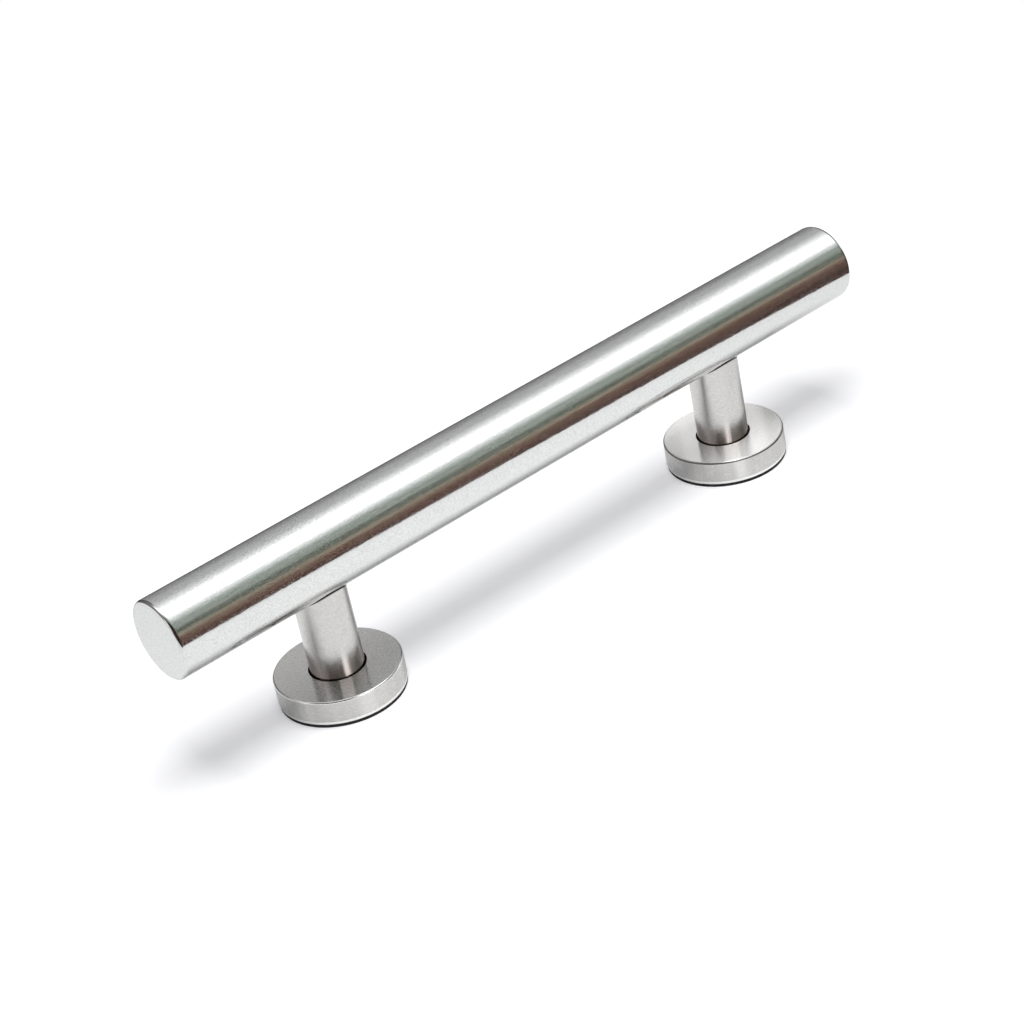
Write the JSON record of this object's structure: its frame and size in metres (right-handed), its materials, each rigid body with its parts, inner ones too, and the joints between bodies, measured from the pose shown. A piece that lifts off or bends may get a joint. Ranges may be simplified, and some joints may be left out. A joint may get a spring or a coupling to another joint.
{
  "type": "straight grab bar",
  "caption": "Straight grab bar of thick round tube with flat ends, on posts with round wall feet; each foot's cover slides up its post to reach the screws.",
  "frame": {"origin": "on the wall plane, midway between the two posts", "axes": "+X along the bar, +Z away from the wall through the posts, Y across the bar"},
  "size_m": [0.4, 0.059, 0.09],
  "materials": {
    "polished_steel": "fine satin polish along the bar",
    "end_cap_steel": "ground flat, fine satin",
    "brushed_steel": "brushed along the post",
    "cover_steel": "turned, fine satin",
    "plate_steel": "mill finish",
    "gasket_rubber": "matt",
    "ring_rubber": "matt"
  },
  "bodies": {
    "bar": {"grip_tube": "polished_steel", "end_cap_left": "end_cap_steel", "post_left": "brushed_steel", "base_plate_left": "plate_steel", "gasket_left": "gasket_rubber", "cover_ring_left": "ring_rubber", "end_cap_right": "end_cap_steel", "post_right": "brushed_steel", "base_plate_right": "plate_steel", "gasket_right": "gasket_rubber", "cover_ring_right": "ring_rubber"},
    "left_cover": {"cover_left": "cover_steel"},
    "right_cover": {"cover_right": "cover_steel"}
  },
  "joints": [
    {"name": "cover_left_slide", "type": "slide", "parent": "bar", "child": "left_cover", "axis": [0, 0, 1], "range_m": [0, 0.0383]},
    {"name": "cover_right_slide", "type": "slide", "parent": "bar", "child": "right_cover", "axis": [0, 0, 1], "range_m": [0, 0.0383]}
  ]
}
